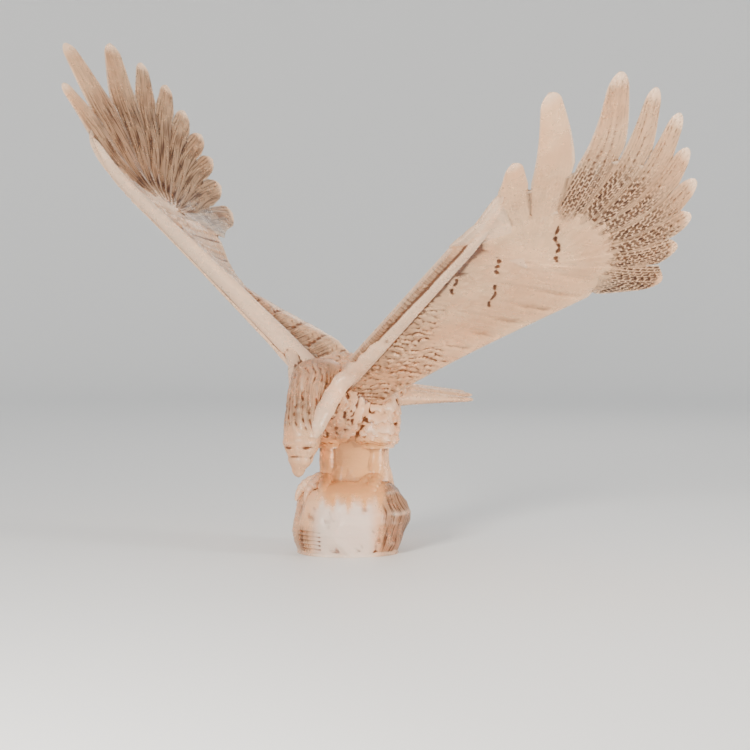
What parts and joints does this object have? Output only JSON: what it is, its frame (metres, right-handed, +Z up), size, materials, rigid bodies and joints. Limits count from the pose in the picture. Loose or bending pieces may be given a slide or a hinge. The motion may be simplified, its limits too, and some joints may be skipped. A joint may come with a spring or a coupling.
{
  "type": "eagle sculpture",
  "caption": "Ice carving of an eagle with raised, spread wings and a bowed head, standing on a low boulder with a flat underside.",
  "frame": {"origin": "on the ground under the middle of the rock, at its flat underside", "axes": "+Z up; the picture is taken from -Y; the wings spread mostly along X and the tail points towards +X and +Y"},
  "size_m": [1.2336, 1.4122, 1.0649],
  "materials": {
    "ice": "frosted, see-through ice with a warm tint, clearer where it is thick"
  },
  "bodies": {
    "root": {"ice_eagle": "ice"}
  },
  "joints": []
}
